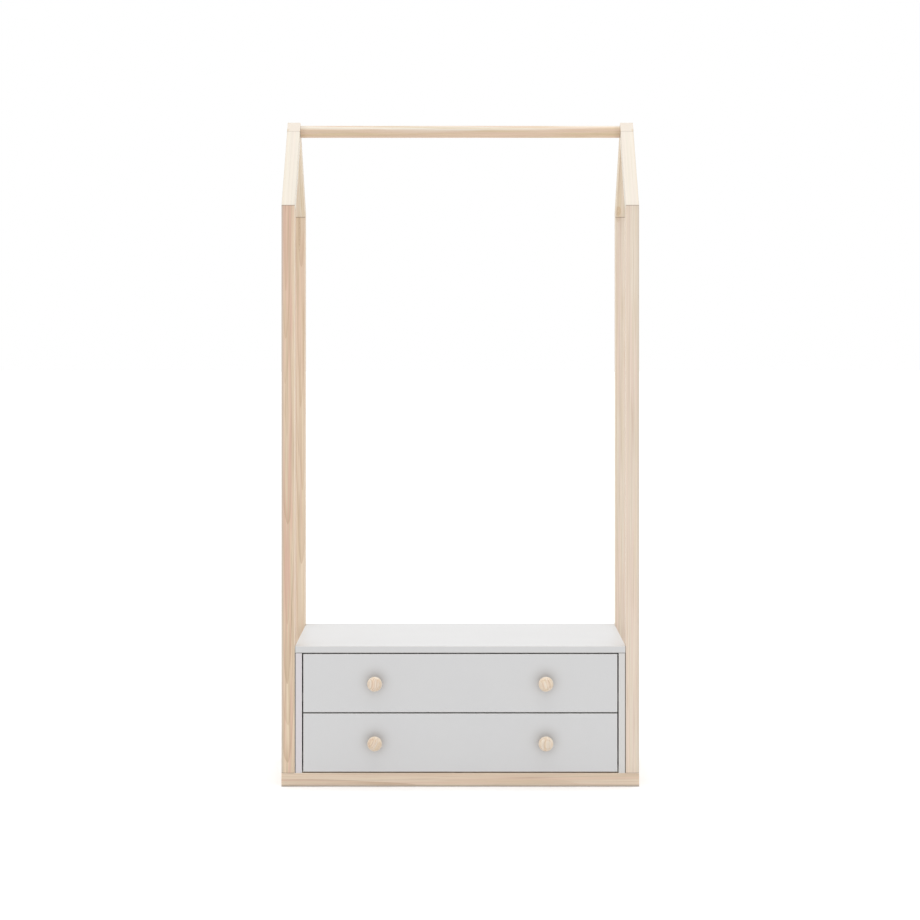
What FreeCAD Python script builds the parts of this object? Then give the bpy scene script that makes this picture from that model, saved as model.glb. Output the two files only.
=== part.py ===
import FreeCAD, Part

import math
import os
from collections import namedtuple

# House-shaped open wardrobe for a child's room, in millimetres.
# Two house-shaped end frames of square pine bar stand on a pine base frame and carry a round hanging rail at
# their ridge. A low cabinet with two drawers on roller runners fills the space between the end frames.
# The frame of reference has +Z up and +X to the right of somebody who faces the drawers. Its origin is on the
# floor, at the middle of the whole footprint, knobs included.

# Pine frame
frame_width = 800.0
frame_depth = 400.0
ridge_height = 1500.0
eaves_height = 1300.0
stock = 30.0
arris_radius = 2.0
hanging_rail_diameter = 28.0

# Cabinet of lacquered board
board = 15.0
board_chamfer = 0.8
back_board = 3.0
cabinet_gap = 0.8
bottom_setback = 2.0
back_setback = 2.0

# Drawer fronts: the reveals are the shadow gaps round them
drawer_front_height = 130.0
front_reveal = 3.0
side_reveal = 3.0

# Drawer boxes. Their sides are housed in the fronts, their backs in the sides and their bottoms in grooves
drawer_board = 12.0
drawer_bottom_board = 3.0
drawer_box_height = 90.0
drawer_box_length = 350.0
drawer_box_rise = 24.0
housing_depth = 5.0
groove_rise = 10.0
groove_slack = 0.2
back_inset = 10.0

# Turned knobs
knob_diameter = 34.0
knob_projection = 25.0
knob_foot_diameter = 19.0
knob_waist_diameter = 16.0
knob_waist_height = 6.0
knob_head_height = 15.0
knob_rim_height = 19.5
knob_face_diameter = 25.0
knob_face_height = 23.5
knob_spacing = 382.0

# Roller runners, bent from sheet steel, in the gap beside each drawer box
runner_gap = 12.5
runner_sheet = 1.2
runner_length = 350.0
runner_setback = 2.0
runner_side_slack = 0.5
runner_top_slack = 0.9
runner_lip_height = 3.0
runner_foot_width = 11.0
roller_width = 5.6
roller_side_gap = 0.25
roller_running_gap = 0.3
roller_end_margin = 14.0
cabinet_roller_radius = 9.0
cabinet_roller_lift = 1.0
drawer_roller_radius = 8.0
roller_pin_radius = 2.0
roller_pin_slack = 0.08
roller_head_radius = 4.0
roller_head_thickness = 1.2

# Loose tenons, let half into each of the two pieces that they join, or less far where two tenons cross
Tenon = namedtuple("Tenon", "thickness width length")
frame_tenon = Tenon(thickness=8.0, width=16.0, length=30.0)
board_tenon = Tenon(thickness=5.0, width=40.0, length=20.0)
tenon_slack = 0.1
shallow_mortise = 8.0
board_tenon_inset = 80.0

cut_overrun = 1.0
direction_tolerance = 1e-6

vector = FreeCAD.Vector
along_x = vector(1, 0, 0)
along_y = vector(0, 1, 0)
along_z = vector(0, 0, 1)

# Places in the pine frame. The rafters climb from the eaves to the ridge, and roof_drop is their height there
front_y = (knob_projection - frame_depth) / 2
rear_y = front_y + frame_depth
ridge_y = front_y + frame_depth / 2
outer_x = frame_width / 2
inner_x = outer_x - stock
post_x = outer_x - stock / 2
roof_slope = math.atan2(ridge_height - eaves_height, frame_depth / 2)
roof_drop = stock / math.cos(roof_slope)
lap_length = stock / math.sin(2 * roof_slope)
front_climb = vector(0, math.cos(roof_slope), math.sin(roof_slope))
rear_climb = vector(0, -math.cos(roof_slope), math.sin(roof_slope))
mitre_height = eaves_height + stock * math.tan(roof_slope) - roof_drop
hanging_rail_z = ridge_height - roof_drop / 2

# Places in the cabinet. A drawer's level is the height of its front's lower edge
cabinet_half = inner_x - cabinet_gap
cabinet_inside = cabinet_half - board
side_middle = cabinet_half - board / 2
cabinet_floor = stock
drawer_rise = drawer_front_height + front_reveal
drawer_levels = {"lower": cabinet_floor + front_reveal, "upper": cabinet_floor + front_reveal + drawer_rise}
top_underside = drawer_levels["upper"] + drawer_rise
cabinet_height = top_underside + board
cabinet_rear = rear_y - back_setback - back_board
bottom_front = front_y + board + bottom_setback

# Places in a drawer and its runners. Heights are counted from the drawer's level
drawer_front_half = cabinet_inside - side_reveal
box_half = cabinet_inside - runner_gap
box_inside = box_half - drawer_board
box_front = front_y + board
box_rear = box_front + drawer_box_length
box_height = drawer_box_rise + drawer_box_height
running_height = drawer_box_rise
cabinet_web_x = cabinet_inside - runner_sheet
drawer_web_x = box_half + runner_sheet
lip_x = drawer_web_x + runner_side_slack
drawer_roller_x = lip_x + runner_sheet + roller_side_gap
cabinet_roller_y = box_front + runner_setback + roller_end_margin
cabinet_roller_height = running_height + cabinet_roller_lift + cabinet_roller_radius
drawer_roller_y = box_rear - roller_end_margin
drawer_roller_height = running_height + roller_running_gap + drawer_roller_radius
drawer_flange_height = cabinet_roller_height + cabinet_roller_radius + roller_running_gap
cabinet_flange_height = drawer_flange_height - runner_top_slack


def box(low, high):
    """A rectangular block between two opposite corners."""
    size = high - low
    return Part.makeBox(size.x, size.y, size.z, low)


def bar_across(outline):
    """A bar as wide as the stock on the right-hand side of the frame, with an outline of points in (y, z)."""
    corners = [vector(inner_x, point.y, point.z) for point in outline]
    face = Part.Face(Part.makePolygon(corners + corners[:1]))
    return face.extrude(along_x * stock)


def eased(shape, direction):
    """Rounds the arrises of a pine bar that run along a direction."""
    arrises = []
    for edge in shape.Edges:
        run = edge.Vertexes[-1].Point - edge.Vertexes[0].Point
        if run.normalize().cross(direction).Length < direction_tolerance:
            arrises.append(edge)
    return shape.makeFillet(arris_radius, arrises)


def chamfered_front(shape):
    """Takes the sharpness off the four edges of a board's front face."""
    lowest = shape.BoundBox.YMin
    rim = [edge for edge in shape.Edges if edge.BoundBox.YMax < lowest + board_chamfer]
    return shape.makeChamfer(board_chamfer, rim)


def turned(outline, start, direction):
    """A solid of revolution. Its outline is a list of (radius, distance) corners from the start along the axis."""
    corners = [vector(radius, 0, distance) for radius, distance in outline]
    face = Part.Face(Part.makePolygon(corners + corners[:1]))
    solid = face.revolve(vector(0, 0, 0), along_z, 360)
    solid.Placement = FreeCAD.Placement(start, FreeCAD.Rotation(along_z, direction))
    return solid


def mirrored(shape):
    return shape.mirror(vector(0, 0, 0), along_x)


def both_sides(shapes):
    """The shapes, which lie on the right, and their mirror images on the left."""
    return shapes + [mirrored(shape) for shape in shapes]


def tenon(size, seam, direction, across, behind, slack):
    """A loose tenon through a seam, or its mortise when there is slack. Its length runs along the direction,
    its width runs across, and it starts the distance called behind on the near side of the seam."""
    thickness, width, length = (side + 2 * slack for side in size)
    block = Part.makeBox(thickness, width, length, vector(-thickness / 2, -width / 2, -behind - slack))
    block.Placement = FreeCAD.Placement(seam, FreeCAD.Rotation(vector(0, 0, 0), across, direction, "ZYX"))
    return block


def frame_tenons(slack=0.0):
    """The tenons of the pine frame: in the base, in the feet of the posts, and at eaves, ridge and hanging rail."""
    middle = frame_tenon.length / 2
    right = []
    for outer_y, inward in ((front_y, along_y), (rear_y, -along_y)):
        foot = vector(post_x, outer_y, stock) + inward * (stock / 2)
        right.append(tenon(frame_tenon, foot, along_z, along_x, middle, slack))
        side_rail_end = vector(post_x, outer_y, stock / 2) + inward * stock
        right.append(tenon(frame_tenon, side_rail_end, inward, along_x, shallow_mortise, slack))
        mitre = vector(0, inward.y * stock, mitre_height - eaves_height)
        mitre_middle = vector(post_x, outer_y, eaves_height) + mitre / 2
        right.append(tenon(frame_tenon, mitre_middle, along_x.cross(mitre).normalize(), along_x, middle, slack))
    ridge_seam = vector(post_x, ridge_y, ridge_height) - front_climb * lap_length - rear_climb * (lap_length / 2)
    behind = frame_tenon.length - shallow_mortise
    right.append(tenon(frame_tenon, ridge_seam, rear_climb.cross(along_x), along_x, behind, slack))
    rail_end = vector(inner_x, ridge_y, hanging_rail_z)
    right.append(tenon(frame_tenon, rail_end, along_x, rear_climb, middle, slack))
    return both_sides(right)


def board_tenons(slack=0.0):
    """The tenons that join the cabinet's sides to its top and bottom."""
    behind = board_tenon.length - shallow_mortise
    right = []
    for y in (front_y + board_tenon_inset, cabinet_rear - board_tenon_inset):
        top_seam = vector(side_middle, y, top_underside)
        right.append(tenon(board_tenon, top_seam, along_z, along_y, behind, slack))
        bottom_seam = vector(cabinet_inside, y, cabinet_floor + board / 2)
        right.append(tenon(board_tenon, bottom_seam, along_x, along_y, behind, slack))
    return both_sides(right)


def mortised(shape, mortises):
    """A shape without the mortises that reach it."""
    reaching = [mortise for mortise in mortises if mortise.BoundBox.intersect(shape.BoundBox)]
    return shape.cut(reaching) if reaching else shape


def base_rails():
    """The base frame: long front and rear rails, with the side rails between them."""
    front = eased(box(vector(-outer_x, front_y, 0), vector(outer_x, front_y + stock, stock)), along_x)
    right = eased(box(vector(inner_x, front_y + stock, 0), vector(outer_x, rear_y - stock, stock)), along_y)
    return {
        "base_front_rail": front,
        "base_rear_rail": front.translated(vector(0, frame_depth - stock, 0)),
        "base_right_rail": right,
        "base_left_rail": mirrored(right),
    }


def posts():
    """The four posts, mitred at the top to meet the rafters."""
    made = {}
    for row, outer_y, inner_y in (("front", front_y, front_y + stock), ("rear", rear_y, rear_y - stock)):
        outline = [vector(0, outer_y, stock), vector(0, outer_y, eaves_height)]
        outline += [vector(0, inner_y, mitre_height), vector(0, inner_y, stock)]
        post = eased(bar_across(outline), along_z)
        made[f"{row}_right_post"] = post
        made[f"{row}_left_post"] = mirrored(post)
    return made


def rafters():
    """The rafters. At the ridge the rear one laps over the end of the front one."""
    ridge = vector(0, ridge_y, ridge_height)
    lap = ridge - front_climb * lap_length
    under_ridge = ridge - along_z * roof_drop
    front_foot = [vector(0, front_y + stock, mitre_height), vector(0, front_y, eaves_height)]
    rear_foot = [vector(0, rear_y - stock, mitre_height), vector(0, rear_y, eaves_height)]
    front = eased(bar_across(front_foot + [lap, under_ridge]), front_climb)
    rear = eased(bar_across(rear_foot + [ridge, lap]), rear_climb)
    return {
        "front_right_rafter": front,
        "front_left_rafter": mirrored(front),
        "rear_right_rafter": rear,
        "rear_left_rafter": mirrored(rear),
    }


def hanging_rail():
    """The round rail for clothes hangers, held end-on between the two ridges."""
    start = vector(-inner_x, ridge_y, hanging_rail_z)
    return {"hanging_rail": Part.makeCylinder(hanging_rail_diameter / 2, 2 * inner_x, start, along_x)}


def cabinet_boards():
    """Top, sides, bottom and thin back of the cabinet. The top lies on the sides, which stand on the base, and it
    covers the back, which lies a little in from the rear."""
    top = box(vector(-cabinet_half, front_y, top_underside), vector(cabinet_half, rear_y, cabinet_height))
    side = box(vector(cabinet_inside, front_y, cabinet_floor), vector(cabinet_half, cabinet_rear, top_underside))
    bottom_corner = vector(cabinet_inside, cabinet_rear, cabinet_floor + board)
    back_corner = vector(cabinet_half, cabinet_rear + back_board, top_underside)
    side = chamfered_front(side)
    return {
        "cabinet_top": chamfered_front(top),
        "cabinet_bottom": box(vector(-cabinet_inside, bottom_front, cabinet_floor), bottom_corner),
        "cabinet_back": box(vector(-cabinet_half, cabinet_rear, cabinet_floor), back_corner),
        "cabinet_right_side": side,
        "cabinet_left_side": mirrored(side),
    }


def roller_pin(start, direction, length):
    """A riveted pin on a runner's web: a shank of some length that the roller turns on, and a head."""
    head_end = length + roller_head_thickness
    outline = [(0, 0), (roller_pin_radius, 0), (roller_pin_radius, length)]
    outline += [(roller_head_radius, length), (roller_head_radius, head_end), (0, head_end)]
    return turned(outline, start, direction)


def roller(radius, start):
    """A nylon roller, bored for its pin, that lies to the right of its start."""
    tyre = Part.makeCylinder(radius, roller_width, start, along_x)
    return tyre.cut(Part.makeCylinder(roller_pin_radius + roller_pin_slack, roller_width, start, along_x))


def cabinet_runner(level):
    """The channel on the right-hand cabinet side: a web, a foot with a lip that the drawer's roller runs on, an
    upper flange that keeps that roller down, and the pin of the front roller."""
    near = box_front + runner_setback
    far = near + runner_length
    flange_near = cabinet_roller_y + cabinet_roller_radius + runner_side_slack
    floor = level + running_height
    roof = level + cabinet_flange_height
    web = box(vector(cabinet_web_x, near, floor - runner_sheet), vector(cabinet_inside, far, roof))
    foot = box(vector(lip_x, near, floor - runner_sheet), vector(cabinet_web_x, far, floor))
    lip = box(vector(lip_x, near, floor), vector(lip_x + runner_sheet, far, floor + runner_lip_height))
    flange = box(vector(lip_x, flange_near, roof - runner_sheet), vector(cabinet_web_x, far, roof))
    pin_start = vector(cabinet_web_x, cabinet_roller_y, level + cabinet_roller_height)
    pin = roller_pin(pin_start, -along_x, roller_width + 2 * roller_side_gap)
    return web.fuse([foot, lip, flange, pin]).removeSplitter()


def drawer_runner():
    """The angle on the right-hand drawer side: a foot under the side, a web, an outward flange that rides on the
    cabinet's roller, and the pin of the rear roller, long enough to hold that roller outside the channel's lip."""
    near = box_front
    far = near + runner_length
    floor = running_height
    top = drawer_flange_height + runner_sheet
    foot = box(vector(box_half - runner_foot_width, near, floor - runner_sheet), vector(box_half, far, floor))
    web = box(vector(box_half, near, floor - runner_sheet), vector(drawer_web_x, far, top))
    flange_corner = vector(cabinet_web_x - runner_side_slack, far, top)
    flange = box(vector(drawer_web_x, near, drawer_flange_height), flange_corner)
    pin_start = vector(drawer_web_x, drawer_roller_y, drawer_roller_height)
    pin = roller_pin(pin_start, along_x, drawer_roller_x + roller_width + roller_side_gap - drawer_web_x)
    return web.fuse([foot, flange, pin]).removeSplitter()


def cabinet_roller(level):
    left_face = cabinet_web_x - roller_side_gap - roller_width
    return roller(cabinet_roller_radius, vector(left_face, cabinet_roller_y, level + cabinet_roller_height))


def drawer_roller():
    return roller(drawer_roller_radius, vector(drawer_roller_x, drawer_roller_y, drawer_roller_height))


def knob():
    """A turned knob: a foot, a drawn-in waist, a flared head and a rim that leads to a slightly crowned face."""
    outline = [
        (0, 0),
        (knob_foot_diameter / 2, 0),
        (knob_waist_diameter / 2, knob_waist_height),
        (knob_diameter / 2, knob_head_height),
        (knob_diameter / 2, knob_rim_height),
        (knob_face_diameter / 2, knob_face_height),
        (0, knob_projection),
    ]
    return turned(outline, vector(knob_spacing / 2, front_y, drawer_front_height / 2), -along_y)


def drawer_boards():
    """Front, sides, back and bottom of a drawer. The bottom runs on under the back to the ends of the sides."""
    bottom_low = drawer_box_rise + groove_rise
    bottom_high = bottom_low + drawer_bottom_board
    housed_half = box_inside + housing_depth
    housed_front = box_front - housing_depth
    back_rear = box_rear - back_inset
    front = box(vector(-drawer_front_half, front_y, 0), vector(drawer_front_half, box_front, drawer_front_height))
    side = box(vector(box_inside, housed_front, drawer_box_rise), vector(box_half, box_rear, box_height))
    back_start = vector(-housed_half, back_rear - drawer_board, bottom_high)
    back = box(back_start, vector(housed_half, back_rear, box_height))
    bottom = box(vector(-housed_half, housed_front, bottom_low), vector(housed_half, box_rear, bottom_high))
    groove_start = vector(-housed_half - groove_slack, housed_front - groove_slack, bottom_low)
    groove = box(groove_start, vector(housed_half + groove_slack, box_rear + cut_overrun, bottom_high))
    front = chamfered_front(front).cut([groove, side, mirrored(side)])
    side = side.cut([groove, back])
    return {
        "drawer_front": front,
        "drawer_right_side": side,
        "drawer_left_side": mirrored(side),
        "drawer_back": back,
        "drawer_bottom": bottom,
    }


def drawer_pieces():
    """Every piece of one drawer by its name, without the word that says which drawer it belongs to."""
    pieces = drawer_boards()
    pieces["drawer_knobs"] = Part.makeCompound(both_sides([knob()]))
    pieces["right_drawer_runner"] = drawer_runner()
    pieces["right_drawer_roller"] = drawer_roller()
    for name in ("drawer_runner", "drawer_roller"):
        pieces[f"left_{name}"] = mirrored(pieces[f"right_{name}"])
    return pieces


def fixed_pieces():
    """Every piece that stays still. The bars and boards have the mortises for their tenons."""
    mortises = frame_tenons(tenon_slack) + board_tenons(tenon_slack)
    blanks = {**base_rails(), **posts(), **rafters(), **hanging_rail(), **cabinet_boards()}
    pieces = {name: mortised(blank, mortises) for name, blank in blanks.items()}
    pieces["frame_tenons"] = Part.makeCompound(frame_tenons())
    pieces["cabinet_tenons"] = Part.makeCompound(board_tenons())
    for name, level in drawer_levels.items():
        runner = cabinet_runner(level)
        pieces[f"{name}_right_cabinet_runner"] = runner
        pieces[f"{name}_left_cabinet_runner"] = mirrored(runner)
    return pieces


def moving_pieces():
    """The two drawers, each at its level, and the rollers that they run on."""
    pieces = {}
    for name, level in drawer_levels.items():
        for piece, shape in drawer_pieces().items():
            pieces[f"{name}_{piece}"] = shape.translated(vector(0, 0, level))
        front_roller = cabinet_roller(level)
        pieces[f"{name}_right_cabinet_roller"] = front_roller
        pieces[f"{name}_left_cabinet_roller"] = mirrored(front_roller)
    return pieces


def main():
    os.makedirs("parts", exist_ok=True)
    pieces = {**fixed_pieces(), **moving_pieces()}
    for name, shape in pieces.items():
        solids = shape.Solids
        if not solids or not shape.isValid():
            raise ValueError(f"{name} isn't a valid solid")
        whole = solids[0] if len(solids) == 1 else Part.makeCompound(solids)
        whole.exportStep(f"parts/{name}.step")
        print(f"{name}: {len(solids)} solid(s), {whole.Volume / 1000:.1f} cm3")
    print(f"{len(pieces)} nodes")


main()
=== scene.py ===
# %% [markdown]
# # A house-shaped clothes stand with two drawers
# The real object is a child's open wardrobe: two house-shaped end frames of square pine bar on a pine base, a round
# rail for clothes hangers at the ridge, and a low cabinet of white lacquered board with two drawers. Its solids
# come from a CAD model that is loaded here as a fixed frame. Blender could model it all again, but the solids
# already have the right shapes, so this lesson gives them their finishes, turns rounder knobs, adds the screws
# that CAD leaves out, and lights it all. Lengths are in metres. X points to the right of somebody who faces the
# drawers, Y to the back and Z up.

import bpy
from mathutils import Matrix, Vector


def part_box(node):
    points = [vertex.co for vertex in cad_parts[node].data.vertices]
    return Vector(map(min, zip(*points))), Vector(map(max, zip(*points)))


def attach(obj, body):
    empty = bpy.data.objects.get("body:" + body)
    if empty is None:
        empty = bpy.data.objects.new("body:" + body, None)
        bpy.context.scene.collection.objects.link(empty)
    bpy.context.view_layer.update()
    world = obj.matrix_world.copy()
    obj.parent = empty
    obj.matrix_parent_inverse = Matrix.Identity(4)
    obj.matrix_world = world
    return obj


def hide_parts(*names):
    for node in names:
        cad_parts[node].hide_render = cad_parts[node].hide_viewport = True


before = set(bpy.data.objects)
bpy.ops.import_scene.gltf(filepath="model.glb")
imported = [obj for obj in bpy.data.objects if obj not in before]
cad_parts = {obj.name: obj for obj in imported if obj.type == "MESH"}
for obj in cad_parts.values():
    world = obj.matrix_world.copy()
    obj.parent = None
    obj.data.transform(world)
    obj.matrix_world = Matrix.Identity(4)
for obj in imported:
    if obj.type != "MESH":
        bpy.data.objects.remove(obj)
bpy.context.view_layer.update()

# %% [markdown]
# ## Measures
# Every piece made below sits on one that is already there, so its place is measured on the frame and not typed in.
# A box around a piece tells most of it: a square bar's thickness, where a face lies, how far apart two knobs are.

# %% Measure the frame
import math

import bpy
from mathutils import Matrix, Vector

mm = 0.001
scene = bpy.context.scene
right, back, up = Vector((1, 0, 0)), Vector((0, 1, 0)), Vector((0, 0, 1))
# Which way along X each side lies
sideways = {"left": -1, "right": 1}


def middle(node):
    """The middle of a solid's box."""
    low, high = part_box(node)
    return (low + high) / 2


def between(start, end, share):
    """A value that lies a share of the way from start to end."""
    return start + (end - start) * share


post_low, post_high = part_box("front_left_post")
stock = post_high.x - post_low.x
front_y = post_low.y
print(f"bars of {stock / mm:.0f} mm, front at y {front_y / mm:.1f} mm")

# %% [markdown]
# ## Colours and nodes
# Finishes are chosen as sRGB colours, written as on a web page, but shaders add up light, which is linear.
# One function turns the one into the other. A second one adds a shader node with its options and its inputs, and
# gives back the socket that the next node needs. With it a material reads from top to bottom like a recipe.


# %% Colour and node helpers
def srgb(code):
    """A colour such as "#D8BFA5" as the linear red, green, blue and alpha of a shader socket."""
    channels = [int(code[start:start + 2], 16) / 255 for start in (1, 3, 5)]
    linear = [value / 12.92 if value <= 0.04045 else ((value + 0.055) / 1.055) ** 2.4 for value in channels]
    return linear + [1.0]


def add(tree, kind, inputs=None, out=0, **options):
    """Adds a node. An input is a value, or the socket of an earlier node that it is linked to."""
    node = tree.nodes.new("ShaderNode" + kind)
    for name, value in options.items():
        setattr(node, name, value)
    for name, value in (inputs or {}).items():
        if isinstance(value, bpy.types.NodeSocket):
            tree.links.new(value, node.inputs[name])
        else:
            node.inputs[name].default_value = value
    return node.outputs[out]


def new_material(name, **values):
    """A material with a plain surface shader, and the values that are the same all over that surface."""
    material = bpy.data.materials.new(name)
    material.use_nodes = True
    surface = material.node_tree.nodes["Principled BSDF"]
    for socket, value in values.items():
        surface.inputs[socket.replace("_", " ")].default_value = value
    return material, material.node_tree, surface


def connect(tree, surface, **sockets):
    """Links the sockets of earlier nodes to the surface shader."""
    for name, socket in sockets.items():
        tree.links.new(socket, surface.inputs[name.replace("_", " ")])


# The option of a map range node that eases the change from one value to the other
eased = {"interpolation_type": "SMOOTHSTEP"}
print("a mid grey is", round(srgb("#808080")[0], 3), "in linear light")

# %% [markdown]
# ## Planed pine
# A pine trunk grows one ring a year: pale, soft wood in spring, and a thin darker line in summer that ends sharply.
# A bar sawn far from the trunk's middle, the pith, shows those rings as straight lines. A bar sawn close to it, and
# a little aslant, shows them as long nested arches. Round the pith lies the pinkish heartwood, further out the pale
# sapwood. A photograph of wood would show all that, but it repeats and it doesn't go round a corner. So the rings
# are made here as what they are, cylinders round a pith that wander a little, and each bar cuts them at a place of
# its own. Fine fibres and darker resin canals come on top, then a painted highlight on the rounded arrises and
# painted shade along the outward ones. Where a bar meets another one, a thin dark line is left, because the arris
# is broken there and dust and varnish settle in it. Painted shade fills the corner round that line.

# %% Kinds of pine
# How strongly the summer lines and the streaks show, then the colours of sapwood, heartwood, brownish veins, summer
# lines and the painted shade on the outward arrises
woods = {
    "warm": (0.46, 0.84, "#F1DCC0", "#E7BFAB", "#DCC5A8", "#B6926E", "#B9B4AE"),
    "tan": (0.45, 0.65, "#F3DEC4", "#EBCBB2", "#E3CBAA", "#B8926E", "#CDBFAE"),
    # The base's front rail has the darkest painted shade on its outward arrises, the lower ones
    "shaded_foot": (0.4, 0.65, "#F2DFC8", "#E9CCB6", "#E3CEB2", "#B8926E", "#8A8480"),
    "pale": (0.5, 0.65, "#F4E6D4", "#F0D8C8", "#EBDAC2", "#D4BA9E", "#CCC1B2"),
    # A paler, plainer pine: a painted highlight for faces that take the top light
    "highlit_cream": (0.35, 0.5, "#F2EADC", "#F2E5DA", "#EFE7D6", "#E3D5C0", "#EADFCE"),
    "straw": (0.55, 0.7, "#F3E6D3", "#EDD7BE", "#E8D5B6", "#CBA87E", "#CDB896"),
    "knob": (0.6, 0.75, "#F8EBDA", "#EFD2B8", "#EBD3B2", "#C0926A", "#CDB896"),
    "rod": (0.5, 0.8, "#F8F0E1", "#E9C9AE", "#E2CEAA", "#C49C74", "#CDB896"),
}
kinds = {}
for name, (lines, streaks, *colours) in woods.items():
    parts = zip(("sap", "heart", "vein", "summer", "arris_shade"), map(srgb, colours))
    kinds[name] = dict(parts, lines=lines, streaks=streaks)
print(", ".join(kinds))


# %% Along the grain
def section_axes(along):
    """The turn from a bar's own axes, with Z along the grain, to those of the frame."""
    side = back if abs(along.x) > 0.9 else right
    side = (side - along * side.dot(along)).normalized()
    return Matrix((side, along.cross(side), along)).transposed().to_euler()


def drawn_out(tree, own, width, stretch, seed, detail=2.0):
    """A noise that is as wide as told, in millimetres, and drawn out along the grain."""
    own = add(tree, "VectorMath", {0: own, 1: (1, 1, 1 / stretch)}, operation="MULTIPLY")
    noise = {"Vector": own, "W": seed, "Scale": 1 / (width * mm), "Detail": detail}
    return add(tree, "TexNoise", noise, noise_dimensions="4D")


# %% Growth rings
def distance(tree, place, point, weights):
    """How far a place is from a point, when X, Y and Z count as much as their weights tell."""
    offset = add(tree, "VectorMath", {0: place, 1: point}, operation="SUBTRACT")
    offset = add(tree, "VectorMath", {0: offset, 1: weights}, operation="MULTIPLY")
    return add(tree, "VectorMath", {0: offset}, out="Value", operation="LENGTH")


def growth_rings(tree, own, pith, lean, ring, wander, eye, seed):
    """The distance to the line of the pith, and how deep a point lies in the summer wood of its ring."""
    from_pith = add(tree, "VectorMath", {0: own, 1: (pith[0] * mm, pith[1] * mm, 0)}, operation="SUBTRACT")
    trunk = Vector((*lean, 1)).normalized()
    radius = add(tree, "VectorMath", {0: from_pith, 1: trunk}, operation="CROSS_PRODUCT")
    radius = add(tree, "VectorMath", {0: radius}, out="Value", operation="LENGTH")
    bend = drawn_out(tree, own, width=22, stretch=12, seed=seed, detail=1.0)
    bend = add(tree, "Math", {0: bend, 1: 2 * wander / ring}, operation="MULTIPLY")
    count = add(tree, "Math", {0: radius, 1: 1 / (ring * mm), 2: bend}, operation="MULTIPLY_ADD")
    if eye:
        # The grain swells round a small knot, further along the bar than across it
        *eye_place, eye_width, eye_length = eye
        squeeze = [1 / (size * mm) for size in (eye_width, eye_width, eye_length)]
        to_eye = distance(tree, own, Vector(eye_place) * mm, squeeze)
        swell = add(tree, "MapRange", {"Value": to_eye, "To Min": 3.0, "To Max": 0.0}, **eased)
        count = add(tree, "Math", {0: count, 1: swell}, operation="ADD")
    # Spring wood turns slowly into summer wood, which ends sharply. Some years leave more of it than others
    year = add(tree, "Math", {0: count}, operation="FRACT")
    summer = add(tree, "Math", {0: year, 1: 2.6}, operation="POWER")
    whole = add(tree, "Math", {0: count}, operation="FLOOR")
    good_year = add(tree, "TexWhiteNoise", {"W": whole}, noise_dimensions="1D")
    good_year = add(tree, "MapRange", {"Value": good_year, "To Min": 0.25, "To Max": 1.0})
    summer = add(tree, "Math", {0: summer, 1: good_year}, operation="MULTIPLY")
    if eye:
        # There the summer wood is broad and resinous
        resinous = {"Value": to_eye, "From Min": 0.6, "From Max": 1.3, "To Min": 1.6, "To Max": 0.0}
        resinous = add(tree, "MapRange", resinous, **eased)
        resinous = add(tree, "Math", {0: resinous, 1: year}, operation="MULTIPLY")
        summer = add(tree, "Math", {0: summer, 1: resinous}, operation="MAXIMUM")
    return radius, summer


# %% Wood colour
def wood_colour(tree, own, kind, radius, summer, heart, seed):
    """Sapwood, with heartwood round the pith and streaks of it further out, brownish veins and summer lines."""
    # The border of the heartwood is ragged, because it follows the streaks in and out, and soft
    ragged, softness = 24 * mm, 7 * mm
    border = heart * mm - ragged / 2
    streak = drawn_out(tree, own, width=8, stretch=40, seed=seed + 9)
    core = add(tree, "Math", {0: streak, 1: -ragged, 2: radius}, operation="MULTIPLY_ADD")
    core = {"Value": core, "From Min": border - softness, "From Max": border + softness}
    core = add(tree, "MapRange", {**core, "To Min": 0.8, "To Max": 0.0}, **eased)
    pink = {"Value": streak, "From Min": 0.42, "From Max": 0.62, "To Max": kind["streaks"]}
    pink = add(tree, "MapRange", pink, **eased)
    core = add(tree, "Math", {0: core, 1: pink}, operation="MAXIMUM")
    colour = add(tree, "MixRGB", {"Fac": core, "Color1": kind["sap"], "Color2": kind["heart"]})

    vein = drawn_out(tree, own, width=5, stretch=45, seed=seed + 23)
    vein = {"Value": vein, "From Min": 0.46, "From Max": 0.66, "To Max": kind["streaks"]}
    vein = add(tree, "MapRange", vein, **eased)
    colour = add(tree, "MixRGB", {"Fac": vein, "Color1": colour, "Color2": kind["vein"]})
    line = add(tree, "Math", {0: summer, 1: kind["lines"]}, operation="MULTIPLY")
    colour = add(tree, "MixRGB", {"Fac": line, "Color1": colour, "Color2": kind["summer"]})

    resin = drawn_out(tree, own, width=1.4, stretch=80, seed=seed + 5, detail=0.0)
    resin = add(tree, "MapRange", {"Value": resin, "From Min": 0.66, "From Max": 0.8, "To Max": kind["lines"]})
    return add(tree, "MixRGB", {"Fac": resin, "Color1": colour, "Color2": kind["summer"]})


# %% Seams
def seams(tree, place, joints, width):
    """1 at a joint and 0 further away than width, in millimetres. A joint is a point and the direction square to
    it. With a second direction it is only the line through that point where both planes meet."""
    closest = None
    for point, *squares in joints:
        from_point = add(tree, "VectorMath", {0: place, 1: point}, operation="SUBTRACT")
        joint = None
        for square in squares:
            offset = {0: from_point, 1: square.normalized()}
            offset = add(tree, "VectorMath", offset, out="Value", operation="DOT_PRODUCT")
            offset = add(tree, "Math", {0: offset}, operation="ABSOLUTE")
            joint = add(tree, "Math", {0: offset, 1: joint}, operation="MAXIMUM") if joint else offset
        closest = add(tree, "Math", {0: joint, 1: closest}, operation="MINIMUM") if closest else joint
    seam = {"Value": closest, "From Min": 0.3 * width * mm, "From Max": width * mm}
    return add(tree, "MapRange", {**seam, "To Min": 1.0, "To Max": 0.0}, **eased)


# %% Arrises
# How far in from a side the painted highlight on an arris reaches, how far the painted shade on an outward arris
# reaches, and where either is full
highlight_reach, shade_reach, full_reach = 2.8 * mm, 9 * mm, 0.6 * mm


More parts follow.
